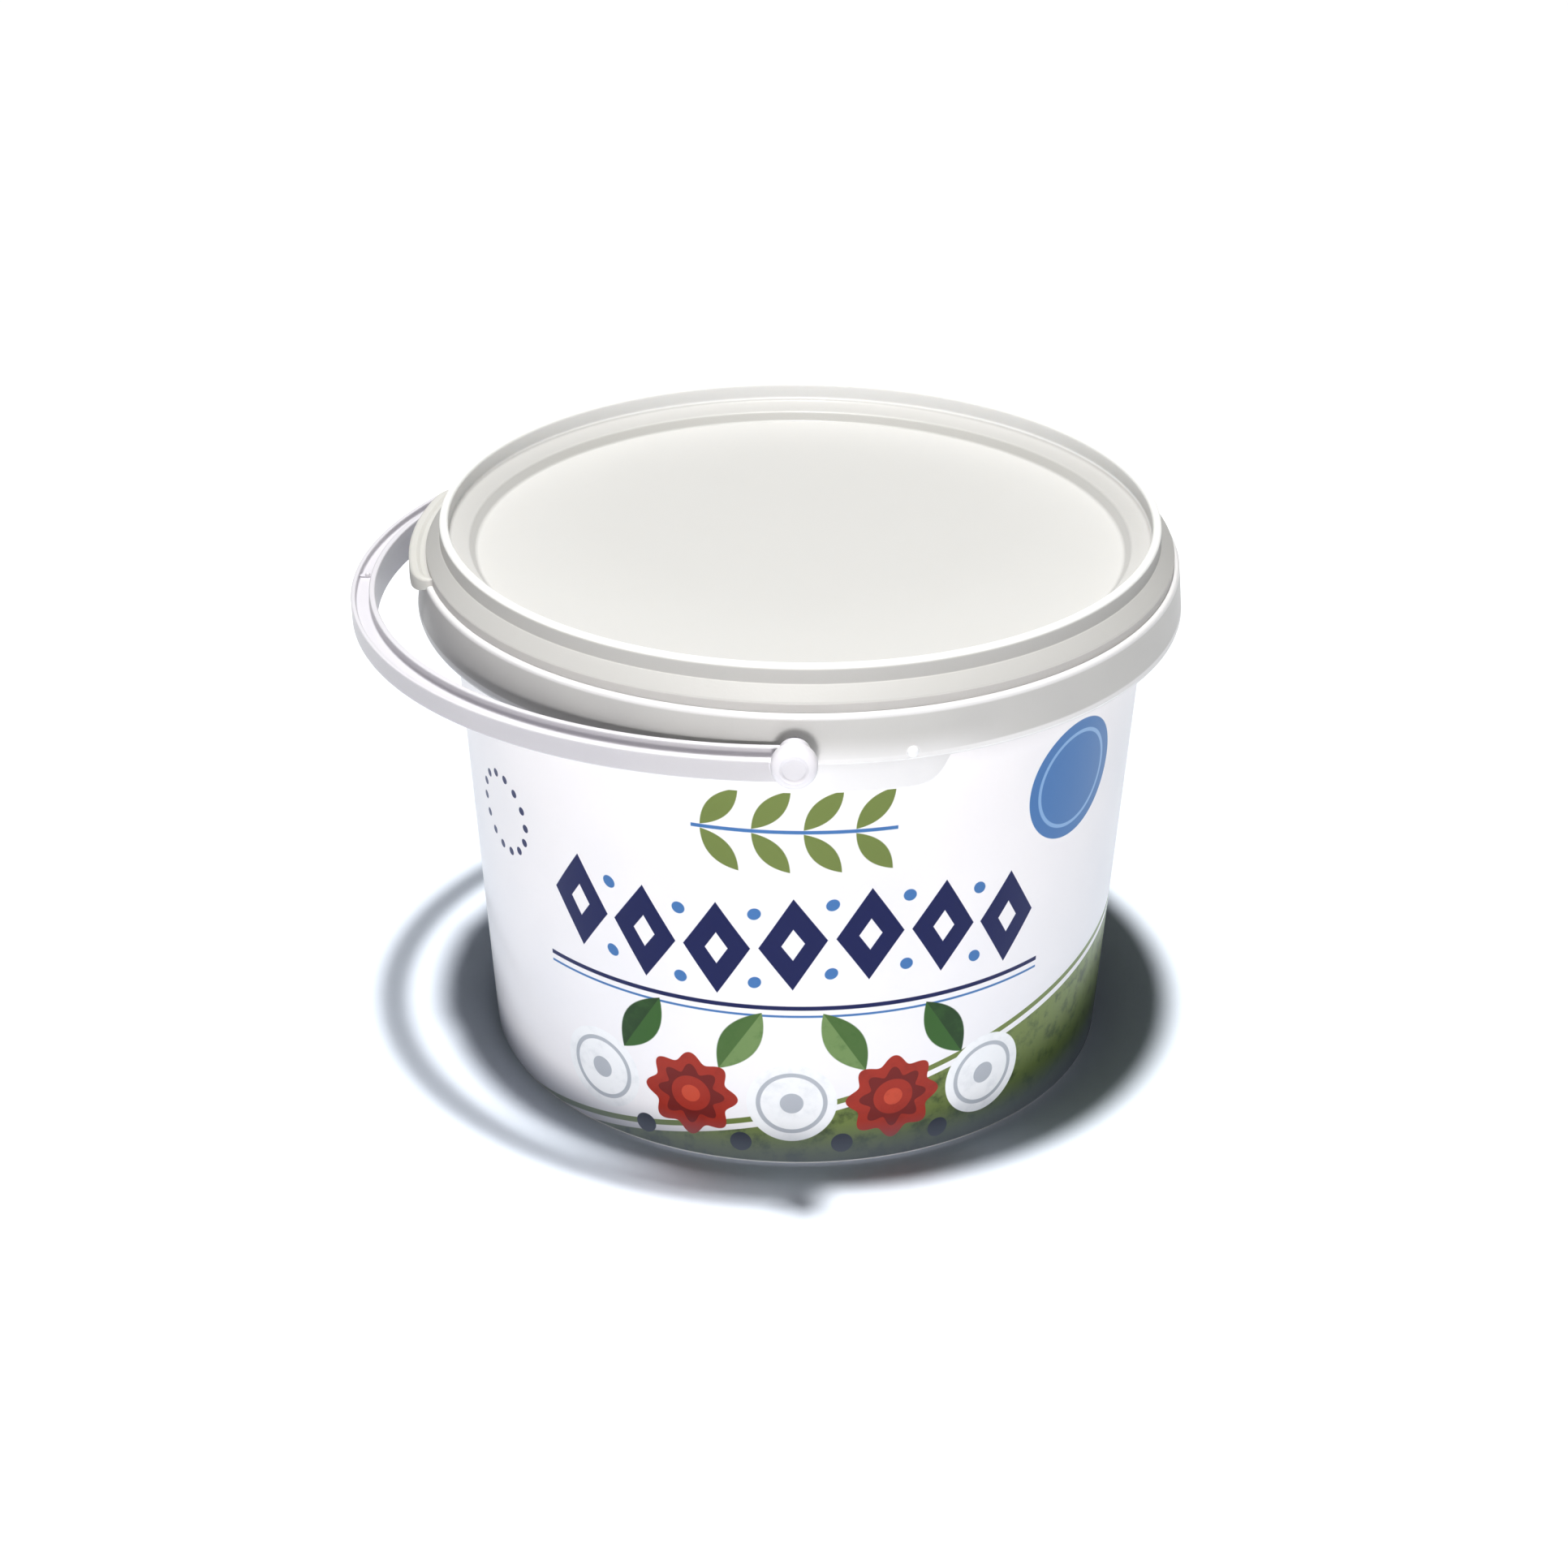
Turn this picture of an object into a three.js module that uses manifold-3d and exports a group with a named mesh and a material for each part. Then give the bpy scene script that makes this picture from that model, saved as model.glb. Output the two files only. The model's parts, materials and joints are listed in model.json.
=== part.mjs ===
// A shut round food pail of moulded plastic: a tapered tub with a wide collar, a press-fit lid with
// a pull tab, and a carrying handle that turns on two buttons in the collar. Millimetres, +Z up.
// The origin is the middle of the base. The front faces -Y, and the handle lies out to -X.

import * as THREE from 'three';
import { mergeVertices } from 'three/addons/utils/BufferGeometryUtils.js';
import Module from 'manifold-3d';

const wasm = await Module();
wasm.setup();

// Driving dimensions of the tub
const baseRadius = 73.5;
const baseCorner = 2.2;
const wallLean = 0.0605;
const centrePadRadius = 12;
const baseRecessRadius = 64;
const baseRecess = 1;
const collarRadius = 88;
const collarTopRadius = 86.9;
const collarBottom = 110.2;
const collarTop = 121.4;
const collarWall = 1.5;
const channelTop = 119.4;
const edgeRound = 0.7;
const outerReach = 95;

// Ears that carry the handle, front and back
const earBottom = 103.6;
const earTopHalfWidth = 33;
const earBottomHalfWidth = 25;
const earSideBow = 2;
const earSetBack = 0.15;
const earOverlap = 1;
const moldDotRadius = 1.3;
const moldDotHeight = 0.6;
const moldDotAngle = -73.7;
const moldDotLevel = 112.2;

// Lid
const fitGap = 0.3;
const lidSkirtRadius = 85.7;
const lidSkirtLean = 0.5;
const shoulderBottom = 123.6;
const shoulderRadius = 83.75;
const shoulderTop = 127.2;
const rimRadius = 82.3;
const rimInnerRadius = 80.7;
const neckFlare = 0.1;
const crestRound = 0.5;
const rimTop = 130.8;
const recessOuterRadius = 80.5;
const recessOuterFloor = 126.2;
const stepRadius = 75.8;
const stepTop = 124.8;
const panelRadius = 74.3;
const panelTop = 122.7;

// Pull tab on the lid
const tabMiddleAngle = 179;
const tabHalfAngle = 18;
const tabReach = 89.6;
const tabThickness = 1.6;
const tabLip = 1.4;
const tabLipDrop = 2.4;
const tabCornerAngle = 3.5;
const tabCornerDepth = 3;
const tabRoot = 2;

// Handle, drawn level and then tilted about its pivots. Its section is a tall inner web and a lower
// outer flange, joined by a ledge. Levels are measured from the line of the pivots.
const pivotHeight = 114;
const handleTilt = 1.2;
const handleReach = 103.4;
const handleHalfSpan = 94.4;
const webInnerReach = 97.8;
const webInnerHalfSpan = 88.8;
const webThickness = 1.4;
const webTopLevel = 1.8;
const webHeight = 8.2;
const ledgeLevel = -0.7;
const ledgeThickness = 1.4;
const flangeThickness = 1.1;
const flangeTopLevel = 0.8;
const flangeHeight = 5;
const gripMarkWidth = 1.2;
const gripMarkPlace = 2;
const gripMarkHeight = 0.4;

// Pivot buttons
const buttonRadius = 4.9;
const buttonFaceRadius = 3.2;
const buttonStart = 93.6;
const buttonReach = 97.2;
const neckRadius = 3.5;
const buttonDish = 0.35;
const pinRadius = 2.5;
const pinHeadRadius = 3.4;
const pinHeadThickness = 1.4;
const pinHeadSlope = 1;
const pinTipReach = 84.4;
const pinClearance = 0.3;

// How finely round forms are divided
const roundSteps = 96;
const handleSteps = 44;
const buttonSteps = 24;
const dotSteps = 12;
const tabSteps = 14;
const earSideSteps = 6;
const cornerSteps = 2;
const mergeDistance = 1e-4;

const paints = {
  tub: { color: 0xf2f2f0, roughness: 0.32, metalness: 0 },
  lid: { color: 0xe9e8e3, roughness: 0.36, metalness: 0 },
  handle: { color: 0xe4e3e6, roughness: 0.3, metalness: 0 },
};

const radians = THREE.MathUtils.degToRad;

// A geometry as a solid for cutting and joining
function toSolid(geometry) {
  const bare = geometry.clone();
  bare.deleteAttribute('normal');
  bare.deleteAttribute('uv');
  const merged = mergeVertices(bare, mergeDistance);
  const mesh = new wasm.Mesh({
    numProp: 3,
    vertProperties: new Float32Array(merged.attributes.position.array),
    triVerts: new Uint32Array(merged.index.array),
  });
  return new wasm.Manifold(mesh);
}

function toGeometry(solid) {
  const mesh = solid.getMesh();
  const geometry = new THREE.BufferGeometry();
  geometry.setAttribute('position', new THREE.BufferAttribute(mesh.vertProperties, 3));
  geometry.setIndex(new THREE.BufferAttribute(mesh.triVerts, 1));
  geometry.computeVertexNormals();
  return geometry;
}

function joined(solids) {
  return solids.reduce((sum, solid) => sum.add(solid));
}

// A profile of radius and height turned about the vertical axis
function turned(path, steps) {
  return toSolid(new THREE.LatheGeometry(path.getPoints(cornerSteps), steps).rotateX(Math.PI / 2));
}

// The same turned about the front-to-back axis: heights in the profile run out from the middle
function turnedOutwards(path, steps, side) {
  const geometry = new THREE.LatheGeometry(path.getPoints(cornerSteps), steps);
  return toSolid(side < 0 ? geometry.rotateX(Math.PI) : geometry);
}

// A plan outline raised between two heights
function raised(shape, bottom, top, steps) {
  const options = { depth: top - bottom, bevelEnabled: false, curveSegments: steps };
  return toSolid(new THREE.ExtrudeGeometry(shape, options).translate(0, 0, bottom));
}

function wallRadius(height) {
  return baseRadius + wallLean * height;
}

// Tub: base with a foot ring and a centre pad, leaning wall, and a collar that hangs as a skirt
function makeTubProfile() {
  const topInner = collarTopRadius - edgeRound;
  const skirtInner = collarRadius - collarWall;
  const profile = new THREE.Path();
  profile.moveTo(0, 0);
  profile.lineTo(centrePadRadius, 0);
  profile.lineTo(centrePadRadius + baseRecess, baseRecess);
  profile.lineTo(baseRecessRadius, baseRecess);
  profile.lineTo(baseRecessRadius + baseRecess, 0);
  profile.lineTo(baseRadius - baseCorner, 0);
  profile.quadraticCurveTo(baseRadius, 0, wallRadius(baseCorner), baseCorner);
  profile.lineTo(wallRadius(channelTop), channelTop);
  profile.lineTo(skirtInner - edgeRound, channelTop);
  profile.lineTo(skirtInner, collarBottom);
  profile.lineTo(collarRadius - edgeRound / 2, collarBottom);
  profile.quadraticCurveTo(collarRadius, collarBottom, collarRadius, collarBottom + edgeRound);
  profile.lineTo(collarTopRadius, collarTop - edgeRound);
  profile.quadraticCurveTo(collarTopRadius, collarTop, topInner, collarTop);
  profile.lineTo(0, collarTop);
  return profile;
}

// One ear is a stretch of the skirt that hangs lower, with a rounded outline seen from the front
function makeEars() {
  const sideTop = collarBottom + 2 * edgeRound;
  const bowed = earTopHalfWidth - earSideBow;
  const outline = new THREE.Shape();
  outline.moveTo(-earTopHalfWidth, sideTop);
  outline.quadraticCurveTo(-bowed, earBottom, -earBottomHalfWidth, earBottom);
  outline.lineTo(earBottomHalfWidth, earBottom);
  outline.quadraticCurveTo(bowed, earBottom, earTopHalfWidth, sideTop);
  const through = { depth: 2 * outerReach, bevelEnabled: false, curveSegments: earSideSteps };
  const across = new THREE.ExtrudeGeometry(outline, through);
  across.rotateX(Math.PI / 2).translate(0, outerReach, 0);

  const skirtInner = collarRadius - collarWall;
  const skirt = new THREE.Path();
  skirt.moveTo(skirtInner, earBottom - earOverlap);
  skirt.lineTo(collarRadius - earSetBack, earBottom - earOverlap);
  skirt.lineTo(collarRadius - earSetBack, sideTop + earOverlap);
  skirt.lineTo(skirtInner, sideTop + earOverlap);
  skirt.closePath();
  return turned(skirt, roundSteps).intersect(toSolid(across));
}

// A small round mould mark on the collar, right of the front ear
function makeMoldDot() {
  const angle = radians(moldDotAngle);
  const reach = collarRadius - earSetBack;
  const dot = new THREE.SphereGeometry(moldDotRadius, dotSteps, dotSteps / 2);
  dot.scale(moldDotHeight / moldDotRadius, 1, 1);
  dot.rotateZ(angle);
  dot.translate(reach * Math.cos(angle), reach * Math.sin(angle), moldDotLevel);
  return toSolid(dot);
}

// A short round cutter through the skirt, on the line of the pivots
function makePivotHole(side) {
  const radius = pinRadius + pinClearance;
  const length = 2 * (outerReach - collarRadius);
  const hole = new THREE.CylinderGeometry(radius, radius, length, buttonSteps);
  return toSolid(hole.translate(0, side * (outerReach - length / 2 - collarWall), pivotHeight));
}

function makeTub() {
  const body = joined([turned(makeTubProfile(), roundSteps), makeEars(), makeMoldDot()]);
  return body.subtract(makePivotHole(1)).subtract(makePivotHole(-1));
}

// Lid: skirt, sloping shoulder, upright neck, rounded rim, and a stepped recess to a flat panel
function makeLidProfile() {
  const bottom = collarTop + fitGap;
  const crestInner = shoulderRadius - crestRound;
  const profile = new THREE.Path();
  profile.moveTo(0, bottom);
  profile.lineTo(lidSkirtRadius - lidSkirtLean, bottom);
  profile.lineTo(lidSkirtRadius, shoulderBottom);
  profile.lineTo(shoulderRadius + neckFlare, shoulderTop - crestRound);
  profile.quadraticCurveTo(shoulderRadius, shoulderTop, crestInner, shoulderTop);
  profile.lineTo(rimRadius + neckFlare, shoulderTop);
  profile.lineTo(rimRadius, rimTop - edgeRound);
  profile.quadraticCurveTo(rimRadius, rimTop, rimRadius - edgeRound, rimTop);
  profile.quadraticCurveTo(rimInnerRadius, rimTop, rimInnerRadius, rimTop - edgeRound);
  profile.lineTo(recessOuterRadius, recessOuterFloor);
  profile.lineTo(stepRadius, stepTop);
  profile.quadraticCurveTo(stepRadius - edgeRound, stepTop, stepRadius - edgeRound, stepTop - edgeRound);
  profile.lineTo(panelRadius, panelTop);
  profile.lineTo(0, panelTop);
  return profile;
}

// Plan of a ring-shaped sector with rounded outer corners
function makeTabPlan(innerRadius, outerRadius, halfAngle) {
  const start = radians(tabMiddleAngle - halfAngle);
  const end = radians(tabMiddleAngle + halfAngle);
  const corner = radians(tabCornerAngle);
  const shoulder = Math.max(innerRadius, outerRadius - tabCornerDepth);
  const at = (radius, angle) => [radius * Math.cos(angle), radius * Math.sin(angle)];
  const plan = new THREE.Shape();
  plan.moveTo(...at(innerRadius, start));
  plan.lineTo(...at(shoulder, start));
  plan.quadraticCurveTo(...at(outerRadius, start), ...at(outerRadius, start + corner));
  plan.absarc(0, 0, outerRadius, start + corner, end - corner, false);
  plan.quadraticCurveTo(...at(outerRadius, end), ...at(shoulder, end));
  plan.lineTo(...at(innerRadius, end));
  plan.absarc(0, 0, innerRadius, end, start, true);
  return plan;
}

function makeLid() {
  const bottom = collarTop + fitGap;
  const plate = makeTabPlan(lidSkirtRadius - tabRoot, tabReach, tabHalfAngle);
  const lip = makeTabPlan(tabReach - tabLip, tabReach, tabHalfAngle - tabCornerAngle);
  return joined([
    turned(makeLidProfile(), roundSteps),
    raised(plate, bottom, bottom + tabThickness, tabSteps),
    raised(lip, bottom - tabLipDrop, bottom + tabThickness / 2, tabSteps),
  ]);
}

// Half of an oval ring in plan, open to the pivots, between two ovals
function makeHalfOval(outerReach, outerSpan, innerReach, innerSpan) {
  const plan = new THREE.Shape();
  plan.absellipse(0, 0, outerReach, outerSpan, Math.PI / 2, 1.5 * Math.PI, false, 0);
  plan.absellipse(0, 0, innerReach, innerSpan, 1.5 * Math.PI, Math.PI / 2, true, 0);
  return plan;
}

// Button, neck and pin on one pivot, as a profile of radius and distance out from the middle
function makeButtonProfile() {
  const headInner = pinTipReach + pinHeadThickness;
  const profile = new THREE.Path();
  profile.moveTo(0, pinTipReach);
  profile.lineTo(pinHeadRadius - pinHeadSlope, pinTipReach);
  profile.lineTo(pinHeadRadius, headInner - fitGap);
  profile.lineTo(pinRadius, headInner);
  profile.lineTo(pinRadius, webInnerHalfSpan);
  profile.lineTo(neckRadius, webInnerHalfSpan);
  profile.lineTo(neckRadius, buttonStart);
  profile.lineTo(buttonRadius - buttonDish, buttonStart);
  profile.lineTo(buttonRadius, buttonStart + edgeRound);
  profile.quadraticCurveTo(buttonRadius, buttonReach - edgeRound, buttonFaceRadius, buttonReach);
  profile.lineTo(buttonFaceRadius - buttonDish, buttonReach);
  profile.lineTo(buttonFaceRadius - 2 * buttonDish, buttonReach - buttonDish);
  profile.lineTo(0, buttonReach - buttonDish);
  return profile;
}

// The round end of one arm, as tall as the web, from the web out to the flange
function makeArmEnd(side) {
  const depth = handleHalfSpan - flangeThickness - webInnerHalfSpan;
  const radius = webHeight / 2;
  const end = new THREE.CylinderGeometry(radius, radius, depth, buttonSteps);
  return toSolid(end.translate(0, side * (webInnerHalfSpan + depth / 2), webTopLevel - radius));
}

// Handle: an upright web, a ledge round its outside and an outer flange, with a button at each end
function makeHandle() {
  const flangeInnerReach = handleReach - flangeThickness;
  const flangeInnerSpan = handleHalfSpan - flangeThickness;
  const webOuterReach = webInnerReach + webThickness;
  const webOuterSpan = webInnerHalfSpan + webThickness;
  const web = makeHalfOval(webOuterReach, webOuterSpan, webInnerReach, webInnerHalfSpan);
  const ledge = makeHalfOval(handleReach, handleHalfSpan, webInnerReach, webInnerHalfSpan);
  const flange = makeHalfOval(handleReach, handleHalfSpan, flangeInnerReach, flangeInnerSpan);
  const markLength = flangeInnerReach - webOuterReach + flangeThickness;
  const mark = new THREE.BoxGeometry(markLength, gripMarkWidth, 2 * gripMarkHeight);
  mark.translate(-(flangeInnerReach + webOuterReach) / 2, gripMarkPlace, ledgeLevel);
  return joined([
    raised(web, webTopLevel - webHeight, webTopLevel, handleSteps),
    raised(ledge, ledgeLevel - ledgeThickness, ledgeLevel, handleSteps),
    raised(flange, flangeTopLevel - flangeHeight, flangeTopLevel, handleSteps),
    toSolid(mark),
    makeArmEnd(1),
    makeArmEnd(-1),
    turnedOutwards(makeButtonProfile(), buttonSteps, 1),
    turnedOutwards(makeButtonProfile(), buttonSteps, -1),
  ]);
}

function piece(name, solid, paint) {
  const mesh = new THREE.Mesh(toGeometry(solid), new THREE.MeshStandardMaterial(paint));
  mesh.name = name;
  return mesh;
}

const handle = piece('handle', makeHandle(), paints.handle);
handle.position.set(0, 0, pivotHeight);
handle.rotation.y = -radians(handleTilt);

const group = new THREE.Group();
group.add(piece('tub', makeTub(), paints.tub), piece('lid', makeLid(), paints.lid), handle);

export default group;
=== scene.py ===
import json
import math

import bmesh
import bpy
import numpy as np
from mathutils import Matrix, Vector


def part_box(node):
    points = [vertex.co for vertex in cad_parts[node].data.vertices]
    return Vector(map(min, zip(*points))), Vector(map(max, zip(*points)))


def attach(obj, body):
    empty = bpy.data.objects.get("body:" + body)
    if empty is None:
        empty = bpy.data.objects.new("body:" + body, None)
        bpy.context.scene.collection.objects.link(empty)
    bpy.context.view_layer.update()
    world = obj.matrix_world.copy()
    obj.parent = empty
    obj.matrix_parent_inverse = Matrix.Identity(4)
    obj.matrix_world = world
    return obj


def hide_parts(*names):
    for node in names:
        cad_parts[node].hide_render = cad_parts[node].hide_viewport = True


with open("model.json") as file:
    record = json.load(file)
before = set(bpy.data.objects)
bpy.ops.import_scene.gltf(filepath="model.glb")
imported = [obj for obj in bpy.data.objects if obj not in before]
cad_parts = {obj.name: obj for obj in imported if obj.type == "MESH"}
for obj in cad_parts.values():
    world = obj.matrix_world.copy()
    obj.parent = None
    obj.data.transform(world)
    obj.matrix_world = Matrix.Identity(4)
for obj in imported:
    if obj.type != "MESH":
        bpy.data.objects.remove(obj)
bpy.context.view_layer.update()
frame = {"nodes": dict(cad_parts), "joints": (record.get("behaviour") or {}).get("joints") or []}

# A shut white food pail with a press-fit lid and a carrying handle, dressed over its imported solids.
# Lengths in the dictionaries are millimetres, heights are above the floor, the front faces -Y.
mm = 0.001
print("frame loaded:", ", ".join(sorted(frame["nodes"])))


# Camera and light

cameraLook = {
    "place": (0.00526, -0.66867, 0.41526),
    "aim": (-0.00326, 0.0, 0.05920),
    "roll": 0.47,  # degrees, the horizon leans a little
    "lens": 72.6,
    "sensor": 36.0,
}


def makeCamera():
    place = Vector(cameraLook["place"])
    ahead = Vector(cameraLook["aim"]) - place
    facing = ahead.to_track_quat("-Z", "Y").to_matrix()
    leaning = facing @ Matrix.Rotation(math.radians(cameraLook["roll"]), 3, "Z")
    data = bpy.data.cameras.new("photoCamera")
    data.lens = cameraLook["lens"]
    data.sensor_width = cameraLook["sensor"]
    camera = bpy.data.objects.new("photoCamera", data)
    camera.matrix_world = Matrix.Translation(place) @ leaning.to_4x4()
    bpy.context.scene.collection.objects.link(camera)
    bpy.context.scene.camera = camera


studio = {
    "worldColour": (0.8, 0.92, 1.0),
    "worldStrength": 0.042,
    "look": "High Contrast",
    "aim": (0, 0, 0.09),
    "lights": {  # place in metres, size in metres, power in watts, colour
        "overhead": ((-0.12, -0.27, 4.50), 0.40, 180.0, (1.0, 0.995, 0.98)),
        "frontFill": ((-0.05, -2.60, 0.24), 0.42, 22.5, (1.0, 0.985, 0.98)),
    },
}


def makeLight():
    world = bpy.data.worlds.new("studioWorld")
    world.use_nodes = True
    background = world.node_tree.nodes["Background"]
    background.inputs["Color"].default_value = (*studio["worldColour"], 1)
    background.inputs["Strength"].default_value = studio["worldStrength"]
    bpy.context.scene.world = world
    aim = Vector(studio["aim"])
    for name, (place, size, power, colour) in studio["lights"].items():
        data = bpy.data.lights.new(name, "AREA")
        data.shape = "DISK"
        data.size = size
        data.energy = power
        data.color = colour
        light = bpy.data.objects.new(name, data)
        light.location = place
        light.rotation_euler = (aim - Vector(place)).to_track_quat("-Z", "Y").to_euler()
        bpy.context.scene.collection.objects.link(light)
    view = bpy.context.scene.view_settings
    view.view_transform = "Standard"
    view.look = studio["look"]


makeCamera()
makeLight()
print("camera and light made")


# Meshes: outlines with rounded corners, turned or swept into fine grids

arcSteps = 7
guardGap = 0.12  # keeps the shading of a flat stretch flat right up to its rounded corners
weldGap = 1e-7  # metres


def roundedLine(corners, closed=False):
    # Corners are (across, up, rounding); a rounding of 0 stays sharp.
    last = len(corners) - 1
    bends = []
    for index, (across, up, rounding) in enumerate(corners):
        if rounding == 0 or (not closed and index in (0, last)):
            bends.append([Vector((across, up))])
        else:
            before = Vector(corners[index - 1][:2])
            after = Vector(corners[(index + 1) % len(corners)][:2])
            bends.append(roundedBend(before, Vector((across, up)), after, rounding))
    line = []
    for index, bend in enumerate(bends):
        line += bend
        if closed or index < last:
            line += guards(bend[-1], bends[(index + 1) % len(bends)][0])
    return [tuple(point) for point in line]


def roundedBend(before, here, after, rounding):
    back = (before - here).normalized()
    ahead = (after - here).normalized()
    half = back.angle(ahead) / 2
    centre = here + (back + ahead).normalized() * rounding / math.sin(half)
    start = here + back * rounding / math.tan(half) - centre
    end = here + ahead * rounding / math.tan(half) - centre
    first = math.atan2(start.y, start.x)
    sweep = (math.atan2(end.y, end.x) - first + math.pi) % (2 * math.pi) - math.pi
    turns = [first + sweep * step / arcSteps for step in range(arcSteps + 1)]
    return [centre + rounding * Vector((math.cos(turn), math.sin(turn))) for turn in turns]


def guards(here, there):
    # Two points just inside the ends of a straight stretch
    step = (there - here).normalized() * min(guardGap, (there - here).length / 4)
    return [here + step, there - step]


def gridObject(name, points, around=False, closedSection=False, caps=False):
    # Points are rows of sections, all with the same number of points, in millimetres.
    points = np.asarray(points, float)
    count, width = points.shape[:2]
    faces = []
    for row in range(count if around else count - 1):
        here = row * width
        there = (row + 1) % count * width
        for column in range(width if closedSection else width - 1):
            beside = (column + 1) % width
            faces.append((here + column, here + beside, there + beside, there + column))
    if caps:
        faces.append(tuple(range(width)))
        faces.append(tuple(range((count - 1) * width, count * width)))
    mesh = bpy.data.meshes.new(name)
    mesh.from_pydata((points.reshape(-1, 3) * mm).tolist(), [], faces)
    work = bmesh.new()
    work.from_mesh(mesh)
    bmesh.ops.remove_doubles(work, verts=work.verts, dist=weldGap)
    bmesh.ops.recalc_face_normals(work, faces=work.faces)
    work.to_mesh(mesh)
    work.free()
    made = bpy.data.objects.new(name, mesh)
    bpy.context.scene.collection.objects.link(made)
    return made


def turnedObject(name, outline, steps):
    # An outline of (radius, height) turned about the upright axis
    angles = np.linspace(0, 2 * math.pi, steps, endpoint=False)
    return gridObject(name, [aroundAxis(outline, angle) for angle in angles], around=True)


def aroundAxis(outline, angle):
    return [(r * math.cos(angle), r * math.sin(angle), z) for r, z in outline]


def combine(target, tools, operation):
    # Joins the tools to the target or cuts them out of it, and removes them.
    for tool in tools:
        modifier = target.modifiers.new(tool.name, "BOOLEAN")
        modifier.operation = operation
        modifier.solver = "EXACT"
        modifier.object = tool
    bpy.context.view_layer.update()
    graph = bpy.context.evaluated_depsgraph_get()
    mesh = bpy.data.meshes.new_from_object(target.evaluated_get(graph))
    target.modifiers.clear()
    target.data = mesh
    for tool in tools:
        bpy.data.objects.remove(tool)


sharpEdge = 38  # degrees between faces from which an edge shades sharp


def finishPiece(piece, material, body, node):
    piece.data.materials.clear()
    piece.data.materials.append(material)
    for face in piece.data.polygons:
        face.use_smooth = True
        face.material_index = 0
    piece.data.set_sharp_from_angle(angle=math.radians(sharpEdge))
    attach(piece, body)
    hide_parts(node)


# Shader helpers

class Wire:  # one shader socket, so that sums and products of wires add Math nodes
    def __init__(self, paint, socket):
        self.paint = paint
        self.socket = socket

    def pick(self, output):
        return Wire(self.paint, self.socket.node.outputs[output])

    def __add__(self, other):
        return self.paint.maths("ADD", self, other)

    __radd__ = __add__

    def __sub__(self, other):
        return self.paint.maths("SUBTRACT", self, other)

    def __rsub__(self, other):
        return self.paint.maths("SUBTRACT", other, self)

    def __mul__(self, other):
        return self.paint.maths("MULTIPLY", self, other)

    __rmul__ = __mul__

    def __abs__(self):
        return self.paint.maths("ABSOLUTE", self)


class Paint:  # the node tree of one material
    def __init__(self, name):
        self.material = bpy.data.materials.new(name)
        self.material.use_nodes = True
        self.tree = self.material.node_tree
        self.tree.nodes.clear()

    def node(self, kind, settings=None, values=None):
        made = self.tree.nodes.new(kind)
        for name, value in (settings or {}).items():
            setattr(made, name, value)
        for name, value in (values or {}).items():
            if isinstance(value, Wire):
                self.tree.links.new(value.socket, made.inputs[name])
            else:
                made.inputs[name].default_value = value
        return Wire(self, made.outputs[0] if made.outputs else None)

    def maths(self, operation, *values):
        return self.node("ShaderNodeMath", {"operation": operation}, dict(enumerate(values)))

    def layer(self, below, above, mask):
        # A colour over another where the mask is 1; 6, 7 and 2 are the Mix node's colour sockets.
        settings = {"data_type": "RGBA"}
        return self.node("ShaderNodeMix", settings, {0: mask, 6: below, 7: above}).pick(2)

    def fade(self, value, low, high, start=0.0, end=1.0):
        # A smooth step from start to end as the value goes from low to high
        values = {"Value": value, "From Min": low, "From Max": high, "To Min": start, "To Max": end}
        return self.node("ShaderNodeMapRange", {"interpolation_type": "SMOOTHSTEP"}, values)

    def below(self, value, limit, soft):
        return self.fade(value, limit - soft, limit + soft, 1.0, 0.0)

    def noise(self, place, scale, detail=2.0, roughness=0.5):
        values = {"Vector": place, "Scale": scale, "Detail": detail, "Roughness": roughness}
        return self.node("ShaderNodeTexNoise", {"noise_dimensions": "3D"}, values)

    def bump(self, height, distance, strength=1.0):
        values = {"Height": height, "Distance": distance, "Strength": strength}
        return self.node("ShaderNodeBump", None, values)

    def plastic(self, look, colour, roughness, normal):
        values = {
            "Base Color": colour,
            "Roughness": roughness,
            "Normal": normal,
            "IOR": look["ior"],
            "Coat Weight": look["coat"],
            "Coat Roughness": look["coatRoughness"],
            "Subsurface Weight": look["glow"],
            "Subsurface Radius": look["glowReach"],
            "Subsurface Scale": look["glowScale"],
        }
        shader = self.node("ShaderNodeBsdfPrincipled", None, values)
        self.node("ShaderNodeOutputMaterial", None, {"Surface": shader})
        return self.material


def ink(code):
    # A print colour from its six-digit code, as linear values
    made = []
    for start in (0, 2, 4):
        share = int(code[start:start + 2], 16) / 255
        made.append(share / 12.92 if share <= 0.04045 else ((share + 0.055) / 1.055) ** 2.4)
    return (*made, 1.0)


# Bare moulded plastic, for the lid, the handle and what shows of the tub

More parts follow.
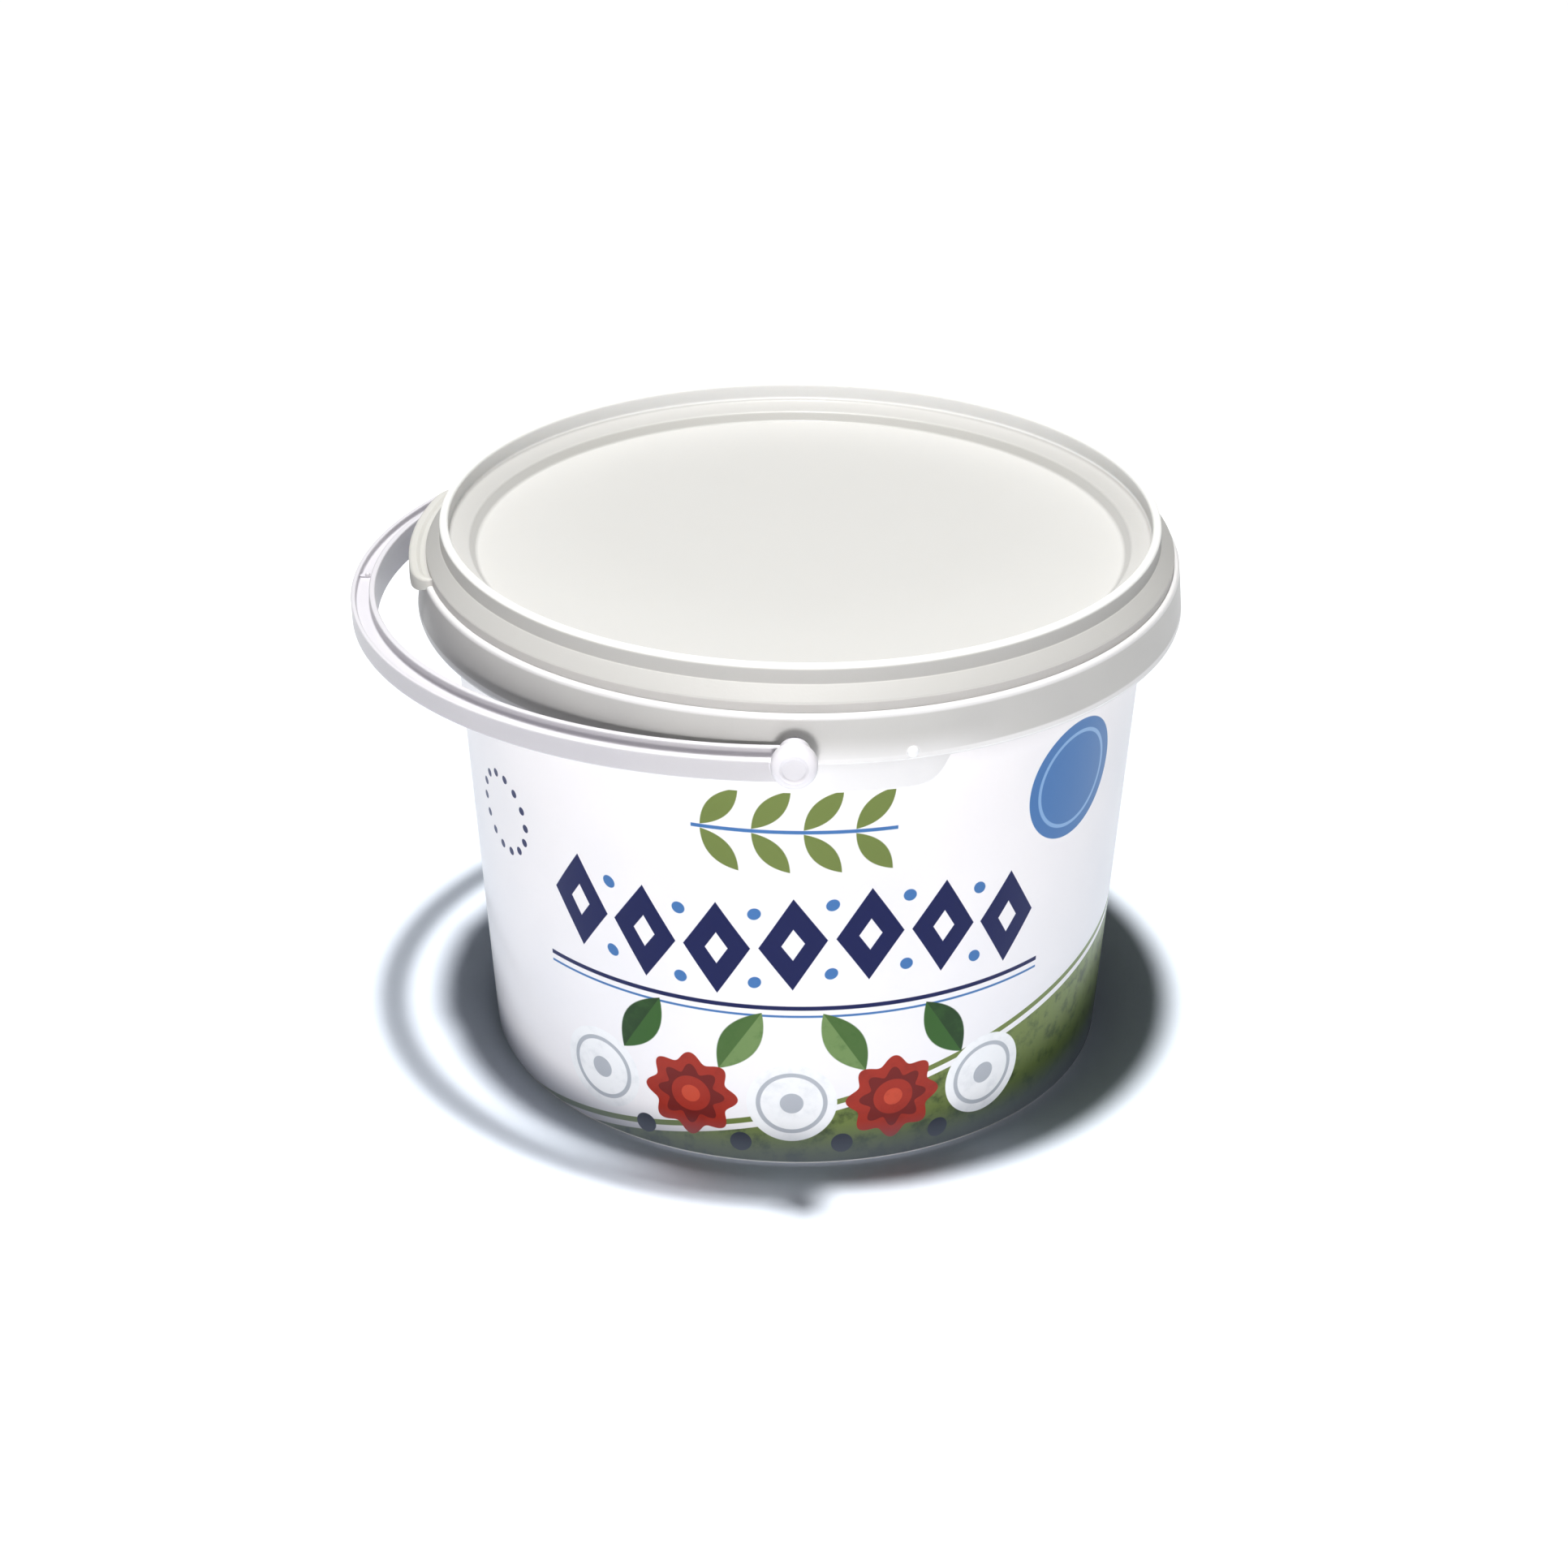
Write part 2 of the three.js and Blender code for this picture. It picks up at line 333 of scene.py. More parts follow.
plasticLooks = {
    "lid": {
        "colour": "cfcecb", "cloud": "cccbc7", "speck": "8f8c86",
        "roughness": 0.5, "roughnessSpread": 0.06,
        "ior": 1.49, "coat": 0.04, "coatRoughness": 0.15,
        "glow": 0.12, "glowReach": (1.0, 0.9, 0.8), "glowScale": 0.003,
        "grain": 0.000014,
    },
    "handle": {
        "colour": "cccacd", "cloud": "c9c7cb", "speck": "b5b4ba",
        "top": "dddbe0", "litTopRange": (0.5, 0.95),  # painted light: faces that look up are painted paler
        "roughness": 0.36, "roughnessSpread": 0.06,
        "ior": 1.49, "coat": 0.18, "coatRoughness": 0.1,
        "glow": 0.14, "glowReach": (0.9, 0.9, 1.0), "glowScale": 0.003,
        "grain": 0.000012,
    },
    "tub": {
        "colour": "c4c3c1", "cloud": "bdbcbb", "speck": "95928d",
        "roughness": 0.36, "roughnessSpread": 0.06,
        "ior": 1.49, "coat": 0.15, "coatRoughness": 0.1,
        "glow": 0.12, "glowReach": (1.0, 0.95, 0.9), "glowScale": 0.003,
        "grain": 0.000014,
    },
}
grain = {
    "cloudScale": 22.0,  # slow drifts of tone, per metre
    "cloudRange": (0.35, 0.65),
    "fineScale": 1600.0,
    "fineDetail": 1.0,
    "swirlScale": 90.0,
    "swirlDetail": 3.0,
    "swirlHeight": 0.7,
    "speckScale": 55.0,
    "speckSize": 0.022,
    "speckSoft": 0.006,
    "speckShare": 0.6,
}


def onPiece(paint):
    # The place on a piece, in metres and in millimetres, and its x, y and height in millimetres
    place = paint.node("ShaderNodeTexCoord").pick("Object")
    millimetres = paint.node("ShaderNodeVectorMath", {"operation": "SCALE"}, {0: place, "Scale": 1 / mm})
    parts = paint.node("ShaderNodeSeparateXYZ", None, {"Vector": millimetres})
    return place, millimetres, parts.pick("X"), parts.pick("Y"), parts.pick("Z")


def plasticBase(paint, look, place):
    # Colour, roughness and height of bare plastic at a place
    drift = paint.fade(paint.noise(place, grain["cloudScale"]), *grain["cloudRange"])
    colour = paint.layer(ink(look["colour"]), ink(look["cloud"]), drift)
    cells = {"Vector": place, "Scale": grain["speckScale"]}
    nearest = paint.node("ShaderNodeTexVoronoi", {"feature": "F1"}, cells)
    speck = paint.below(nearest, grain["speckSize"], grain["speckSoft"])
    colour = paint.layer(colour, ink(look["speck"]), speck * grain["speckShare"])
    swirl = paint.noise(place, grain["swirlScale"], grain["swirlDetail"])
    fine = paint.noise(place, grain["fineScale"], grain["fineDetail"])
    roughness = look["roughness"] + look["roughnessSpread"] * (swirl - 0.5)
    return colour, roughness, fine + grain["swirlHeight"] * swirl


# Tub: base, leaning wall, and a collar whose skirt hangs lower where the handle turns

tub = {
    "collarRadius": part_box("tub")[1].x / mm,
    "collarTop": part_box("tub")[1].z / mm,
    "baseRadius": 73.5,
    "wallTopRadius": 80.72,
    "channelTop": 119.4,
    "centrePad": 12,
    "footRing": 64,
    "baseRecess": 1.0,
    "baseCorner": 1.2,
    "skirtInner": 86.5,
    "skirtFace": 87.85,
    "skirtBottom": 110.2,
    "beadHeight": 1.5,
    "topRadius": 86.9,
    "smallRound": 0.3,
    "edgeRound": 0.7,
    "steps": 360,
}
ears = {
    "bottom": 103.6,
    "sideTop": 111.6,
    "topHalfWidth": 33.0,
    "bottomHalfWidth": 25.0,
    "sideBow": 2.0,
    "sideSteps": 26,
}
collarPaleAndHighlight = {  # the collar is paler low down near the ears and at the mould mark; painted highlights run along its lower bead and its top edge
    "colour": "e6e5e6",
    "earHigh": 117.0, "earLow": 108.0, "earNear": 26.0, "earFar": 50.0,
    "edgeHighlight": 0.9, "beadSoft": 0.25, "beadShare": 0.75, "topEdgeHighlight": 120.4, "topEdgeSoft": 0.3,
    "dotColour": "ececee", "dotSoft": 0.4,
}
dot = {"radius": 1.3, "height": 0.6, "angle": -73.7, "level": 112.2, "steps": 32, "rings": 14, "sink": -1.5}
pivot = {
    "height": frame["joints"][0]["pos_m"][2] / mm,
    "holeRadius": 2.8,
    "holeStart": 83.5,
    "holeEnd": 90.0,
    "steps": 48,
}


def earSide():
    # The bowed side of an ear as (distance from its middle, height), top to bottom
    top, bottom = ears["topHalfWidth"], ears["bottomHalfWidth"]
    bowed = top - ears["sideBow"]
    made = []
    for step in range(ears["sideSteps"] + 1):
        t = step / ears["sideSteps"]
        across = top * (1 - t) ** 2 + 2 * bowed * t * (1 - t) + bottom * t * t
        height = ears["sideTop"] * (1 - t) ** 2 + ears["bottom"] * (1 - (1 - t) ** 2)
        made.append((across, height))
    return made


def skirtBottomAt(angle):
    # How low the skirt hangs at an angle about the upright axis
    across = abs(math.cos(angle)) * tub["skirtFace"]
    widths, heights = zip(*reversed(earSide()))
    return min(tub["skirtBottom"], float(np.interp(across, widths, heights)))


def tubOutline(angle):
    bottom = skirtBottomAt(angle)
    small = tub["smallRound"]
    recess = tub["baseRecess"]
    beadBottom = tub["skirtBottom"] + small
    beadTop = tub["skirtBottom"] + tub["beadHeight"]
    lipRound = min(2 * small, (beadBottom - bottom) / 3)
    return roundedLine([
        (0, 0, 0),
        (tub["centrePad"], 0, small),
        (tub["centrePad"] + recess, recess, small),
        (tub["footRing"], recess, small),
        (tub["footRing"] + recess, 0, small),
        (tub["baseRadius"], 0, tub["baseCorner"]),
        (tub["wallTopRadius"], tub["channelTop"], 2 * small),
        (tub["skirtInner"], tub["channelTop"], 2 * small),
        (tub["skirtInner"], bottom, small),
        (tub["skirtFace"], bottom, lipRound),
        (tub["skirtFace"], beadBottom, small / 4),
        (tub["collarRadius"], beadBottom + small, small / 3),
        (tub["collarRadius"] - small / 3, beadTop, small),
        (tub["topRadius"], tub["collarTop"], tub["edgeRound"]),
        (0, tub["collarTop"], 0),
    ])


def makeTub():
    angles = set(np.linspace(-math.pi, math.pi, tub["steps"], endpoint=False))
    for across, _ in earSide():
        share = math.acos(across / tub["skirtFace"])
        angles.update((share, math.pi - share, -share, share - math.pi))
    made = gridObject("tubShell", [aroundAxis(tubOutline(a), a) for a in sorted(angles)], around=True)
    rise = np.linspace(dot["sink"], math.pi / 2, dot["rings"])
    dome = [(dot["radius"] * math.cos(a), dot["height"] * math.sin(a)) for a in rise]
    mark = turnedObject("moldDot", [(0, dome[0][1]), *dome], dot["steps"])
    side = math.radians(dot["angle"])
    outwards = Vector((math.cos(side), math.sin(side), 0))
    turn = outwards.to_track_quat("Z", "Y").to_matrix().to_4x4()
    reach = outwards * tub["skirtFace"] + Vector((0, 0, dot["level"]))
    mark.data.transform(Matrix.Translation(reach * mm) @ turn)
    holes = [pivotTurned("pivotHole", holeOutline(), pivot["steps"], way) for way in (1, -1)]
    combine(made, [mark], "UNION")
    combine(made, holes, "DIFFERENCE")
    return made


def paintCollarPaleAndHighlight(paint, colour, millimetres, x, up):
    # The collar is paler low down near the ears and at the mould mark, and painted highlights run along its
    # lower bead and its top edge.
    nearEar = paint.fade(abs(x), collarPaleAndHighlight["earFar"], collarPaleAndHighlight["earNear"])
    low = paint.fade(up, collarPaleAndHighlight["earHigh"], collarPaleAndHighlight["earLow"])
    beadMiddle = tub["skirtBottom"] + tub["beadHeight"] / 2
    # painted highlights along the lower bead and the top edge
    edgeHighlight = paint.below(abs(up - beadMiddle), collarPaleAndHighlight["edgeHighlight"], collarPaleAndHighlight["beadSoft"])
    topEdgeHighlight = 1 - paint.below(up, collarPaleAndHighlight["topEdgeHighlight"], collarPaleAndHighlight["topEdgeSoft"])
    edgeHighlight = paint.maths("MAXIMUM", edgeHighlight, topEdgeHighlight)
    paleAndHighlight = paint.maths("MAXIMUM", nearEar * low, edgeHighlight * collarPaleAndHighlight["beadShare"])
    colour = paint.layer(colour, ink(collarPaleAndHighlight["colour"]), paleAndHighlight)
    side = math.radians(dot["angle"])
    place = (tub["skirtFace"] * math.cos(side), tub["skirtFace"] * math.sin(side), dot["level"])
    mark = paint.below(measure(paint, millimetres, place), dot["radius"], collarPaleAndHighlight["dotSoft"])
    return paint.layer(colour, ink(collarPaleAndHighlight["dotColour"]), mark)


def holeOutline():
    radius = pivot["holeRadius"]
    start, end = pivot["holeStart"], pivot["holeEnd"]
    return [(0, start), (radius, start), (radius, end), (0, end)]


def pivotTurned(name, outline, steps, way, lift=0):
    # An outline of (radius, distance outwards) turned about the pivots' line, on the side that way names
    made = turnedObject(name, outline, steps)
    turn = Matrix.Rotation(-way * math.pi / 2, 4, "X")
    made.data.transform(Matrix.Translation((0, 0, (pivot["height"] + lift) * mm)) @ turn)
    return made


# The printed wrap: fields of colour and simple shapes. Along is millimetres round the wall from the
# middle of the front, up is millimetres above the floor, and a second panel repeats at the back.

wrap = {
    "radius": 77.0,
    "radiusSpread": 4.8,
    "bottom": 0.9,
    "top": 118.6,
    "softness": 0.12,
    "endSoft": 0.1,  # where a row ends between its shapes
    "edgeSoft": 0.08,
    "radiusSoft": 0.2,
    "seamAngle": 103.0,
    "seamHalf": 0.25,
    "white": "f2eff0", "cloud": "edebed", "cloudRange": (0.4, 0.7),
    "roughness": 0.33,
    "roughnessSpread": 0.06,
    "raised": 3.0,  # the height of the print, in grains
    "hidesGrain": 0.6,  # the share of the grain that the print hides
}
speckles = {"scale": 260.0, "detail": 4.0, "roughness": 0.6, "range": (0.45, 0.75)}
inks = {
    "navy": "041458", "blue": "4f7fb4", "paleBlue": "8fb2d8", "olive": "7c8a4c", "deepGreen": "31431c",
    "leaf": "7d9660", "leafShade": "56763c", "forest": "3f6a2a", "forestShade": "274a1a",
    "red": "a8351f", "redLight": "c8563a", "redDeep": "7c1c12",
    "pearl": "f2f2f3", "pearlRing": "b9bcc2", "stone": "1b2433", "floorShade": "8b909c", "collarShadow": "b3b1b2",
}
greenField = {
    "middle": 16.0, "swing": 20.0, "peakAngle": 100.0, "depth": 34.0, "line": 1.5, "lineGap": 2.4,
    "speckles": 0.8,
}
diamondRow = {
    "level": 60.5, "wave": 2.2, "waveLength": 84.0, "pitch": 17.0, "count": 7,
    "halfWidth": 7.6, "halfHeight": 12.0, "core": 0.34, "berry": 1.5, "berryRise": 9.0, "endGap": 0.2,
}
stripes = {"halfLength": 62.0, "lines": [(43.6, 1.1, "navy"), (41.4, 0.6, "blue")]}
branch = {
    "level": 89.5, "pitch": 11.0, "count": 4, "lean": 50.0, "rise": 5.4, "shift": 0.6,
    "half": (6.4, 2.5), "leafSoft": 0.06, "stem": 0.45,
}
disc = {"place": (69.0, 88.0), "radius": 14.5, "line": (11.0, 11.9)}
dotRing = {"place": (-78.0, 73.0), "radius": 9.5, "count": 14, "dot": 1.0}
floorShade = {"height": 13.0, "share": 0.72}  # painted shade, darkest at the lower edge and fading upwards
collarShadow = {"low": 101.0, "high": 113.0, "near": 14.0, "far": 50.0, "share": 0.7}  # painted shadow under the collar, on the right of each panel
border = {
    "pitch": 24.0, "level": 17.5, "pearl": 10.6, "rosette": 11.4,
    "petalLevel": 34.0, "petal": (9.6, 4.4), "petalTilt": 58.0, "stoneLevel": 6.0, "stone": 2.6,
    "petalSteps": (-1.5, -0.5, 0.5, 1.5), "pearlSteps": (-2, 0, 2), "rosetteSteps": (-1, 1),  # in pitches
}
pearl = {"ring": 0.74, "ringHalf": 0.05, "core": 0.26, "speckles": 0.2}  # rings are shares of its radius
rosette = {"lobes": 8, "lobeDepth": 0.1, "inner": 0.62, "eye": 0.42, "middle": 0.2, "speckles": 0.3}
petal = {"speckles": 0.4, "edgeSoft": 1.5}


def simpleShapes():
    # Each simple shape of the border: painter, place along and up, half width and half height, tilt
    made = []
    for step in border["petalSteps"]:
        along = step * border["pitch"]
        tilt = math.copysign(border["petalTilt"], -along)
        painter = paintPetal if abs(step) < 1 else paintDarkPetal
        made.append((painter, (along, border["petalLevel"]), border["petal"], tilt))
        made.append((paintStone, (along, border["stoneLevel"]), (border["stone"], border["stone"]), 0.0))
    rounds = (
        (paintPearl, border["pearl"], border["pearlSteps"]),
        (paintRosette, border["rosette"], border["rosetteSteps"]),
    )
    for painter, radius, steps in rounds:
        for step in steps:
            made.append((painter, (step * border["pitch"], border["level"]), (radius, radius), 0.0))
    return made


def seen(paint, plane, place, half, tilt):
    # The wall's plane as a shape sees it: its middle at zero and its edge at one
    values = {
        "Vector": plane,
        "Location": (*place, 0),
        "Rotation": (0, 0, math.radians(tilt)),
        "Scale": (*half, 1),
    }
    return paint.node("ShaderNodeMapping", {"vector_type": "TEXTURE"}, values)


def measure(paint, vector, other=(0, 0, 0)):
    made = paint.node("ShaderNodeVectorMath", {"operation": "DISTANCE"}, {0: vector, 1: other})
    return made.pick("Value")


def split(paint, vector):
    made = paint.node("ShaderNodeSeparateXYZ", None, {"Vector": vector})
    return made.pick("X"), made.pick("Y")


def repeated(paint, value, pitch):
    # The value from the nearest multiple of the pitch
    return paint.maths("WRAP", value, pitch / 2, -pitch / 2)


def paintPearl(paint, colour, local, soft, speckle):
    reach = measure(paint, local)
    ring = paint.below(abs(reach - pearl["ring"]), pearl["ringHalf"], soft)
    body = paint.layer(ink(inks["pearl"]), ink(inks["pearlRing"]), ring)
    body = paint.layer(body, ink(inks["pearlRing"]), paint.below(reach, pearl["core"], soft))
    body = paint.layer(body, ink(inks["pearlRing"]), speckle * pearl["speckles"])
    return paint.layer(colour, body, paint.below(reach, 1.0, soft))


def paintRosette(paint, colour, local, soft, speckle):
    across, up = split(paint, local)
    reach = measure(paint, local)
    lobes = paint.maths("COSINE", paint.maths("ARCTAN2", up, across) * rosette["lobes"])
    scalloped = reach - rosette["lobeDepth"] * lobes
    inner = paint.below(scalloped, rosette["inner"], soft)
    body = paint.layer(ink(inks["red"]), ink(inks["redDeep"]), inner)
    body = paint.layer(body, ink(inks["red"]), paint.below(reach, rosette["eye"], soft))
    body = paint.layer(body, ink(inks["redLight"]), paint.below(reach, rosette["middle"], soft))
    body = paint.layer(body, ink(inks["redDeep"]), speckle * rosette["speckles"])
    return paint.layer(colour, body, paint.below(scalloped, 1.0 - rosette["lobeDepth"], soft))


def paintPetal(paint, colour, local, soft, speckle, light="leaf", shade="leafShade"):
    along, across = split(paint, local)
    body = paint.layer(ink(inks[light]), ink(inks[shade]), paint.fade(across, -soft, soft))
    body = paint.layer(body, ink(inks["forest"]), speckle * petal["speckles"])
    inside = paint.below(abs(across) + along * along, 1.0, soft * petal["edgeSoft"])
    return paint.layer(colour, body, inside)


def paintDarkPetal(paint, colour, local, soft, speckle):
    return paintPetal(paint, colour, local, soft, speckle, "forest", "forestShade")


def paintStone(paint, colour, local, soft, speckle):
    return paint.layer(colour, ink(inks["stone"]), paint.below(measure(paint, local), 1.0, soft))


def paintGreenField(paint, colour, angle, up, speckle):
    turn = angle - math.radians(greenField["peakAngle"])
    edge = greenField["middle"] + greenField["swing"] * paint.maths("COSINE", turn)
    height = up - edge
    soft = wrap["softness"]
    deep = paint.fade(height, 0.0, -greenField["depth"])
    body = paint.layer(ink(inks["olive"]), ink(inks["deepGreen"]), deep)
    body = paint.layer(body, ink(inks["deepGreen"]), speckle * greenField["speckles"])
    colour = paint.layer(colour, body, paint.below(height, 0.0, soft))
    line = abs(height - greenField["lineGap"])
    return paint.layer(colour, ink(inks["olive"]), paint.below(line, greenField["line"] / 2, soft))


def paintDiamonds(paint, colour, along, up):
    wave = paint.maths("SINE", along * (2 * math.pi / diamondRow["waveLength"]))
    height = up - diamondRow["level"] - diamondRow["wave"] * wave
    rowEnd = diamondRow["pitch"] * diamondRow["count"] / 2
    inRow = paint.below(abs(along), rowEnd - diamondRow["endGap"], wrap["endSoft"])
    across = repeated(paint, along, diamondRow["pitch"])
    reach = abs(across) * (1 / diamondRow["halfWidth"]) + abs(height) * (1 / diamondRow["halfHeight"])
    soft = wrap["softness"] / diamondRow["halfWidth"]
    body = paint.below(reach, 1.0, soft) * (1 - paint.below(reach, diamondRow["core"], soft))
    colour = paint.layer(colour, ink(inks["navy"]), body * inRow)
    between = repeated(paint, along + diamondRow["pitch"] / 2, diamondRow["pitch"])
    rise = abs(height) - diamondRow["berryRise"]
    berry = paint.node("ShaderNodeCombineXYZ", None, {"X": between, "Y": rise})
    spots = paint.below(measure(paint, berry), diamondRow["berry"], wrap["softness"])
    amongDiamonds = paint.below(abs(along), rowEnd - diamondRow["pitch"] / 2, wrap["endSoft"])
    return paint.layer(colour, ink(inks["blue"]), spots * amongDiamonds)


def paintStripes(paint, colour, along, up):
    inside = paint.below(abs(along), stripes["halfLength"], wrap["softness"])
    for level, width, name in stripes["lines"]:
        line = paint.below(abs(up - level), width / 2, wrap["softness"])
        colour = paint.layer(colour, ink(inks[name]), line * inside)
    return colour


def paintBranch(paint, colour, along, up):
    inside = paint.below(abs(along), branch["pitch"] * branch["count"] / 2, wrap["endSoft"])
    across = repeated(paint, along + branch["pitch"] / 2, branch["pitch"])
    height = abs(up - branch["level"])
    plane = paint.node("ShaderNodeCombineXYZ", None, {"X": across, "Y": height})
    local = seen(paint, plane, (branch["shift"], branch["rise"]), branch["half"], branch["lean"])
    lengthwise, sideways = split(paint, local)
    reach = abs(sideways) + lengthwise * lengthwise
    leaves = paint.below(reach, 1.0, branch["leafSoft"])
    colour = paint.layer(colour, ink(inks["olive"]), leaves * inside)
    stem = paint.below(height, branch["stem"], wrap["softness"])
    return paint.layer(colour, ink(inks["blue"]), stem * inside)


def paintDisc(paint, colour, plane):
    reach = measure(paint, plane, (*disc["place"], 0))
    colour = paint.layer(colour, ink(inks["blue"]), paint.below(reach, disc["radius"], wrap["softness"]))
    inner, outer = disc["line"]
    middle = (inner + outer) / 2
    line = paint.below(abs(reach - middle), (outer - inner) / 2, wrap["softness"])
    return paint.layer(colour, ink(inks["paleBlue"]), line)


def paintDotRing(paint, colour, plane):
    local = seen(paint, plane, dotRing["place"], (1, 1), 0)
    across, up = split(paint, local)
    share = repeated(paint, paint.maths("ARCTAN2", up, across), 2 * math.pi / dotRing["count"])
    reach = measure(paint, local)
    radius = dotRing["radius"]
    cell = paint.node("ShaderNodeCombineXYZ", None, {"X": share * radius, "Y": reach - radius})
    dots = paint.below(measure(paint, cell), dotRing["dot"], wrap["softness"])
    return paint.layer(colour, ink(inks["navy"]), dots)


def wrapColour(paint, place, angle, up):
    # The print's colour, back to front, then painted shadow under the collar and painted shade towards the
    # floor
    folded = repeated(paint, angle, math.pi)
    along = folded * wrap["radius"]
    plane = paint.node("ShaderNodeCombineXYZ", None, {"X": along, "Y": up})
    mottle = paint.noise(place, speckles["scale"], speckles["detail"], speckles["roughness"])
    speckle = paint.fade(mottle, *speckles["range"])
    drift = paint.fade(paint.noise(place, grain["cloudScale"]), *wrap["cloudRange"])
    colour = paint.layer(ink(wrap["white"]), ink(wrap["cloud"]), drift)
    colour = paintGreenField(paint, colour, angle, up, speckle)
    colour = paintStripes(paint, colour, along, up)
    colour = paintDiamonds(paint, colour, along, up)
    colour = paintBranch(paint, colour, along, up)
    colour = paintDisc(paint, colour, plane)
    colour = paintDotRing(paint, colour, plane)
    for painter, middle, half, tilt in simpleShapes():
        local = seen(paint, plane, middle, half, tilt)
        colour = painter(paint, colour, local, wrap["softness"] / half[1], speckle)
    # painted shadow under the collar, on the right of each panel
    collarShadowMask = paint.fade(up, collarShadow["low"], collarShadow["high"]) * paint.fade(along, collarShadow["near"], collarShadow["far"])
    colour = paint.layer(colour, ink(inks["collarShadow"]), collarShadowMask * collarShadow["share"])
    # painted shade towards the floor
    return paint.layer(colour, ink(inks["floorShade"]), paint.fade(up, floorShade["height"], 0.0) * floorShade["share"])


def tubMaterial():
    paint = Paint("tubPlasticPrintAndPaintedLight")
    place, millimetres, x, y, up = onPiece(paint)
    angle = paint.maths("ARCTAN2", x, 0 - y)
    reach = paint.maths("SQRT", x * x + y * y)
    onWall = paint.below(abs(reach - wrap["radius"]), wrap["radiusSpread"], wrap["radiusSoft"])
    middle = (wrap["bottom"] + wrap["top"]) / 2
    inHeight = paint.below(abs(up - middle), wrap["top"] - middle, wrap["edgeSoft"])
    seam = abs(angle * wrap["radius"] - math.radians(wrap["seamAngle"]) * wrap["radius"])
    printed = onWall * inHeight * (1 - paint.below(seam, wrap["seamHalf"], wrap["edgeSoft"]))
    colour, roughness, height = plasticBase(paint, plasticLooks["tub"], place)
    colour = paintCollarPaleAndHighlight(paint, colour, millimetres, x, up)
    colour = paint.layer(colour, wrapColour(paint, place, angle, up), printed)
    sheen = wrap["roughness"] + wrap["roughnessSpread"] * (paint.noise(place, grain["swirlScale"]) - 0.5)
    roughness = roughness + printed * (sheen - roughness)
    height = height * (1 - wrap["hidesGrain"] * printed) + wrap["raised"] * printed
    surface = paint.bump(height, plasticLooks["tub"]["grain"])
    return paint.plastic(plasticLooks["tub"], colour, roughness, surface)


tubShell = makeTub()
finishPiece(tubShell, tubMaterial(), "pail", "tub")
print("tub made")


# Lid: skirt, sloping shoulder, neck, rim and stepped recess, with a pull tab at the left

lid = {
    "bottom": 121.42,
    "skirtRadius": 85.7,
    "shoulderBottom": 123.6,
    "neckBottom": 126.5,
    "neckRadius": 82.45,
    "rimRadius": 82.3,
    "rimTop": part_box("lid")[1].z / mm,
    "rimInner": 80.3,
    "recessOuter": 80.5,
    "recessLevel": 126.2,
    "stepRadius": 75.8,
    "stepLevel": 124.8,
    "panelRadius": 74.3,
    "panelLevel": 122.7,
    "lowerRound": 0.05,
    "smallRound": 0.35,
    "rimRound": 0.9,
    "innerRound": 1.1,
    "steps": 384,
}
tab = {
    "middleAngle": 179.0,
    "halfAngle": 18.0,
    "root": 83.7,
    "reach": -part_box("lid")[0].x / mm,
    "thickness": 1.7,
    "trough": 0.55,
    "troughReach": 87.0,
    "troughSlope": 0.8,
    "lip": 1.4,
    "lipDrop": 2.4,
    "cornerAngle": 5.0,
    "cornerDepth": 3.6,
    "cornerDrop": 0.3,
    "edgeRound": 0.75,
    "steps": 96,
}


def lidOutline():
    small = lid["smallRound"]
    inner = lid["innerRound"]
    return roundedLine([
        (0, lid["bottom"], 0),
        (lid["skirtRadius"], lid["bottom"], lid["lowerRound"]),
        (lid["skirtRadius"], lid["shoulderBottom"], 2 * small),
        (lid["neckRadius"], lid["neckBottom"], small),
        (lid["rimRadius"], lid["rimTop"], lid["rimRound"]),
        (lid["rimInner"], lid["rimTop"], lid["rimRound"]),
        (lid["recessOuter"], lid["recessLevel"], inner),
        (lid["stepRadius"], lid["stepLevel"], inner),
        (lid["panelRadius"], lid["panelLevel"], inner),
        (0, lid["panelLevel"], 0),
    ])


def tabOutline(fromMiddle):
    # Plate and lip of the tab at an angle from its middle; both draw in at the corners
    intoCorner = (abs(fromMiddle) - tab["halfAngle"] + tab["cornerAngle"]) / tab["cornerAngle"]
    share = math.sqrt(max(0.0, 1 - max(0.0, intoCorner) ** 2))
    reach = tab["reach"] - tab["cornerDepth"] * (1 - share)
    drop = tab["lipDrop"] * max(tab["cornerDrop"], share)
    bottom = lid["bottom"]
    top = bottom + tab["thickness"]
    floor = top - tab["trough"] * share
    lipInner = reach - tab["lip"]
    small = lid["smallRound"]
    return roundedLine([
        (tab["root"], bottom, 0),
        (lipInner, bottom, small),
        (lipInner, bottom - drop, small / 2),
        (reach, bottom - drop, small / 2),
        (reach, top, tab["edgeRound"]),
        (min(tab["troughReach"] + tab["troughSlope"], lipInner), top, small),
        (min(tab["troughReach"], lipInner - tab["troughSlope"]), floor, small),
        (tab["root"], floor, 0),
    ], closed=True)


def makeLid():
    made = turnedObject("lidShell", lidOutline(), lid["steps"])
    sections = []
    for share in np.sin(np.linspace(-math.pi / 2, math.pi / 2, tab["steps"])):
        fromMiddle = share * tab["halfAngle"]
        angle = math.radians(tab["middleAngle"] + fromMiddle)
        sections.append(aroundAxis(tabOutline(fromMiddle), angle))
    plate = gridObject("pullTab", sections, closedSection=True, caps=True)
    combine(made, [plate], "UNION")
    return made


